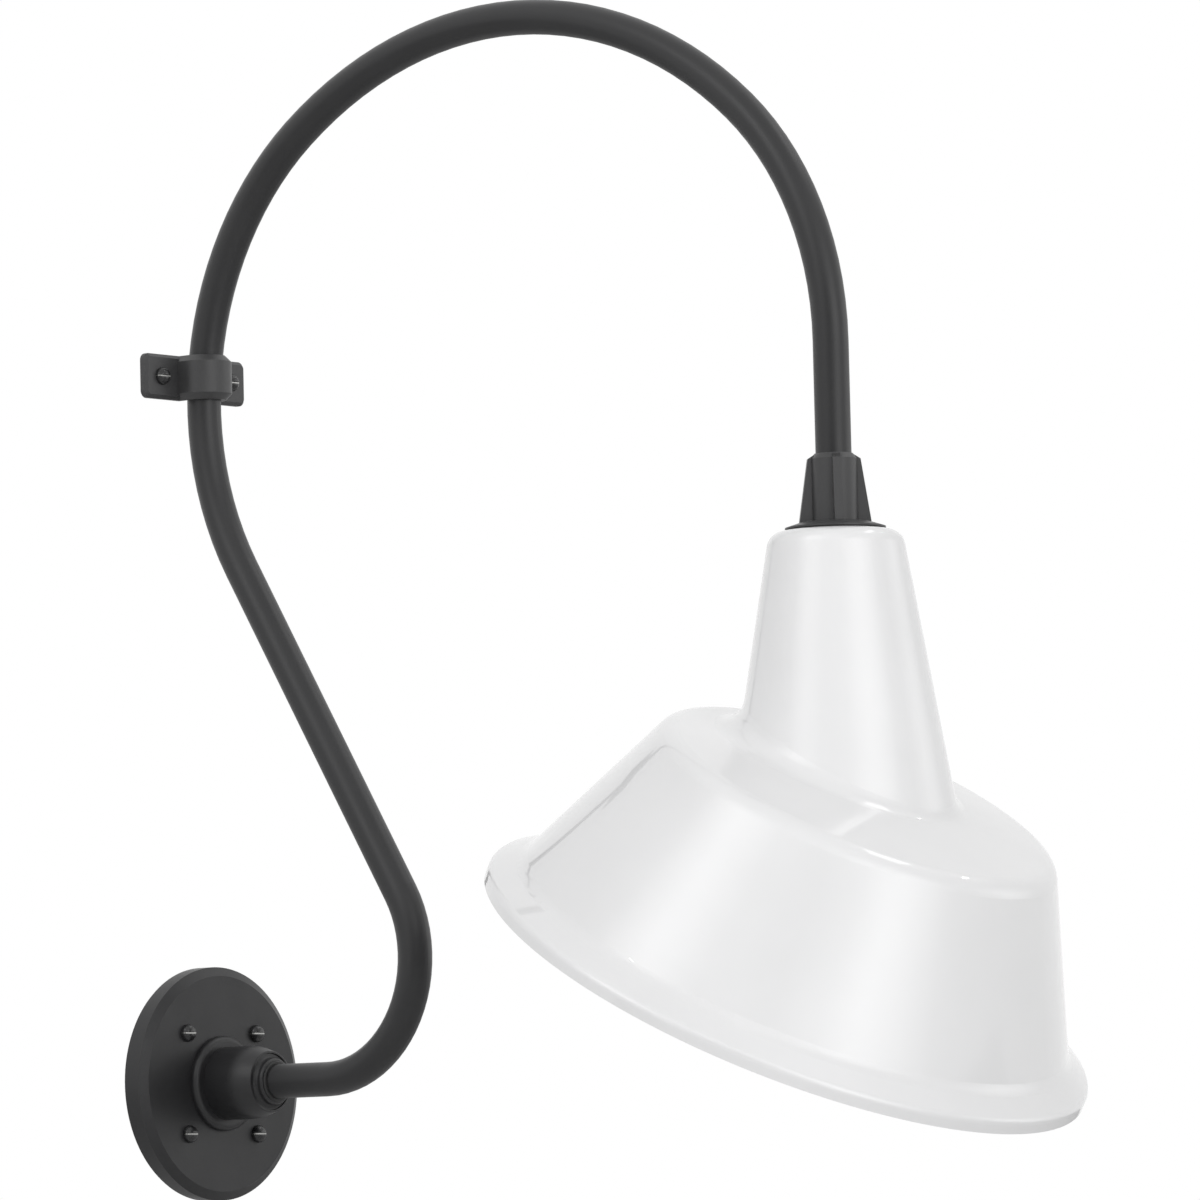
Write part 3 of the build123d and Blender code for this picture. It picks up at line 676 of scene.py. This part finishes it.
@dataclass(frozen=True)
class Lampholder:
    """The porcelain lampholder, its threaded shell and the leads that feed it."""

    shell: ThreadedSleeve = ThreadedSleeve(
        "threaded_shell", "socket_shell", Body.SHADE_HEAD, foot_radius=14.0 * MM, skirt=0.3 * MM,
        outer_radius=13.8 * MM, outer_crest=0.2 * MM, inner_radius=13.6 * MM, inner_crest=0.2 * MM,
        eye_radius=6.0 * MM, end_wall=0.5 * MM)

    def build(self) -> None:
        """Adds the threaded shell and dresses the lampholder's nodes."""
        self.shell.build()
        dress(PORCELAIN, "socket_body")
        dress(NICKEL, "white_terminal_screw")
        dress(BRASS, "socket_contact", "black_terminal_screw")
        dress(BLACK_SLEEVE, "black_socket_lead")
        dress(WHITE_SLEEVE, "white_socket_lead")


@dataclass(frozen=True)
class Lamp:
    """The screw-in lamp."""

    base: ThreadedSleeve = ThreadedSleeve(
        "threaded_base", "lamp_base", Body.LAMP, foot_radius=13.7 * MM, skirt=5.0 * MM,
        outer_radius=12.78 * MM, outer_crest=0.32 * MM, inner_radius=12.1 * MM, inner_crest=0.0,
        eye_radius=5.0 * MM, end_wall=1.0 * MM)

    def build(self) -> None:
        """Adds the threaded base and dresses the lamp's nodes."""
        self.base.build()
        dress(FROSTED, "lamp_globe")
        dress(BLACK_GLASS, "lamp_insulator")
        dress(SOLDER, "lamp_contact")
        dress(CLEAR_GLASS, "lamp_stem")
        dress(TUNGSTEN, "lamp_filament")


@dataclass(frozen=True)
class PhotoCamera:
    """The camera at the photograph's place."""

    position: Triple = (-3.6831, -3.4236, -0.1123)
    azimuth: float = -50.0
    elevation: float = -4.68
    roll: float = -1.33
    lens: float = 240.0
    reach: float = 100.0

    def build(self) -> None:
        """Adds the camera and makes it the scene's."""
        back = direction(self.azimuth, self.elevation)
        right = (-back).cross(Vector((0, 0, 1))).normalized()
        up = right.cross(-back)
        roll = radians(self.roll)
        side = right * cos(roll) + up * sin(roll)
        top = up * cos(roll) - right * sin(roll)
        data = bpy.data.cameras.new("photo_camera")
        data.lens = self.lens
        data.clip_end = self.reach
        made = bpy.data.objects.new("photo_camera", data)
        turn = Matrix((side, top, back)).transposed().to_4x4()
        made.matrix_world = Matrix.Translation(self.position) @ turn
        bpy.context.scene.collection.objects.link(made)
        bpy.context.scene.camera = made
        log.info("photo_camera: %.0f mm lens", self.lens)


@dataclass(frozen=True)
class Panel:
    """A soft lamp aimed at the light; a grid in front of it, in degrees, softens its edges in gloss."""

    name: str
    azimuth: float
    elevation: float
    distance: float
    size: tuple[float, float]
    power: float
    grid: float = 180.0
    in_gloss: bool = True
    in_diffuse: bool = True

    def build(self) -> bpy.types.Object:
        """Returns the lamp, not yet placed."""
        data = bpy.data.lights.new(self.name, "AREA")
        data.energy = self.power
        data.shape = "RECTANGLE"
        data.size, data.size_y = self.size
        data.spread = radians(self.grid)
        made = bpy.data.objects.new(self.name, data)
        made.visible_glossy = self.in_gloss
        made.visible_diffuse = self.in_diffuse
        log.info("%s: %.1f W", self.name, self.power)
        return made


@dataclass(frozen=True)
class Sheet:
    """A flat painted sheet of the studio, which can fade out towards its edges."""

    name: str
    size: tuple[float, float]
    tones: tuple[Triple, Triple]
    fade: float = 0.0
    patch_size: float = 0.4
    roughness: float = 0.9

    def border(self, graph: Graph) -> Value:
        """Returns 1 well inside the sheet, falling to 0 at its edges.

        Args:
            graph: The graph of the sheet's paint.

        Returns:
            The share of the sheet that is seen.
        """
        across, along = [graph.spread(reach / 2 - graph.off_middle(axis), 0, self.fade)
                         for axis, reach in zip("XY", self.size)]
        return across * along

    def paint(self) -> bpy.types.Material:
        """Returns the sheet's paint."""
        made = bpy.data.materials.new(self.name + "_paint")
        made.use_nodes = True
        graph = Graph(made.node_tree)
        tone = graph.blend(graph.noise(self.patch_size, detail=2), *self.tones)
        inputs = {"Base Color": tone, "Roughness": self.roughness}
        if self.fade:
            inputs["Alpha"] = self.border(graph)
        graph.end("ShaderNodeOutputMaterial", graph.node("ShaderNodeBsdfPrincipled", {}, inputs, "BSDF"))
        return made

    def build(self) -> bpy.types.Object:
        """Returns the sheet, level and not yet placed."""
        wide, high = self.size[0] / 2, self.size[1] / 2
        mesh = bpy.data.meshes.new(self.name)
        mesh.from_pydata([(-wide, -high, 0), (wide, -high, 0), (wide, high, 0), (-wide, high, 0)], [],
                         [(0, 1, 2, 3)])
        mesh.materials.append(self.paint())
        sheet = bpy.data.objects.new(self.name, mesh)
        log.info("%s: %.1f by %.1f m", self.name, *self.size)
        return sheet


PANELS = (
    Panel("key", -60, 26, 4.0, size=(3.4, 3.4), power=46, in_gloss=False),
    Panel("fill", -14, 8, 4.0, size=(2.6, 3.0), power=37, in_gloss=False),
    Panel("top", -100, 58, 3.0, size=(1.8, 1.8), power=15, in_gloss=False),
    Panel("streak_high", 50, 58, 6.0, size=(2.4, 0.8), power=19, in_diffuse=False),
    Panel("streak_left", -97, 34, 3.2, size=(2.6, 2.0), power=1.8, grid=45, in_diffuse=False),
    Panel("streak_right", -15, 9, 3.4, size=(4.1, 3.2), power=9.0, grid=62, in_diffuse=False),
    Panel("streak_far_right", 52, 10, 3.4, size=(2.6, 1.6), power=0.8, grid=45, in_diffuse=False),
    Panel("spark_left", -100, 42, 6.0, size=(0.14, 0.14), power=4.0),
    Panel("spark_right", 70, 44, 6.0, size=(0.14, 0.14), power=4.0),
)


@dataclass(frozen=True)
class Studio:
    """The lamps, the floor, the dim room that only gloss sees, and the white world."""

    centre: Triple = (0, -0.5, 0.2)
    ambient: float = 0.45
    panels: tuple[Panel, ...] = PANELS
    floor: Sheet = Sheet("floor", (12.0, 12.0), (grey(0.86), grey(0.88)))
    floor_height: float = -0.5
    room: Sheet = Sheet("dim_room", (8.4, 6.4), (grey(0.02), grey(0.03)), fade=2.0)
    room_azimuth: float = -48.0
    room_elevation: float = -4.0
    room_distance: float = 6.5

    def aim(self, made: bpy.types.Object, azimuth: float, elevation: float, distance: float) -> None:
        """Puts an object round the centre, facing it.

        Args:
            made: The object.
            azimuth: Where it stands, in degrees from the front.
            elevation: How far up it is, in degrees.
            distance: How far out it is, in metres.
        """
        back = direction(azimuth, elevation)
        made.location = Vector(self.centre) + back * distance
        made.rotation_mode = "QUATERNION"
        made.rotation_quaternion = back.to_track_quat("Z", "Y")
        bpy.context.scene.collection.objects.link(made)

    def white_where_seen(self, graph: Graph) -> Value:
        """Returns 1 where the camera, gloss or glass sees the background, and ambient elsewhere.

        Args:
            graph: The world's graph.

        Returns:
            The strength.
        """
        seen = graph.node("ShaderNodeLightPath", output="Is Camera Ray")
        for name in ("Is Glossy Ray", "Is Transmission Ray"):
            seen = seen.at_least(graph.node("ShaderNodeLightPath", output=name))
        return seen * (1 - self.ambient) + self.ambient

    def add_world(self) -> None:
        """Adds the world, white wherever it is seen."""
        world = bpy.data.worlds.new("studio")
        world.use_nodes = True
        graph = Graph(world.node_tree)
        light = graph.node("ShaderNodeBackground", {}, {
            "Color": grey(1), "Strength": self.white_where_seen(graph)}, "Background")
        graph.end("ShaderNodeOutputWorld", light)
        bpy.context.scene.world = world
        log.info("studio: ambient %.2f", self.ambient)

    def add_floor(self) -> None:
        """Adds the floor."""
        floor = self.floor.build()
        floor.location.z = self.floor_height
        bpy.context.scene.collection.objects.link(floor)

    def add_room(self) -> None:
        """Adds the dim room behind the camera, which shows only in gloss."""
        room = self.room.build()
        room.visible_camera = room.visible_diffuse = room.visible_shadow = False
        self.aim(room, self.room_azimuth, self.room_elevation, self.room_distance)

    def build(self) -> None:
        """Adds the lamps, the world, the floor and the dim room."""
        for panel in self.panels:
            self.aim(panel.build(), panel.azimuth, panel.elevation, panel.distance)
        self.add_world()
        self.add_floor()
        self.add_room()


def main() -> None:
    """Builds the light, the studio and the camera."""
    logging.basicConfig(level=logging.INFO)
    bpy.context.scene.view_settings.view_transform = "Standard"
    for part in (WallEnd(), Arm(), ShadeHead(), Lampholder(), Lamp(), Studio(), PhotoCamera()):
        part.build()


if __name__ == "__main__":
    main()
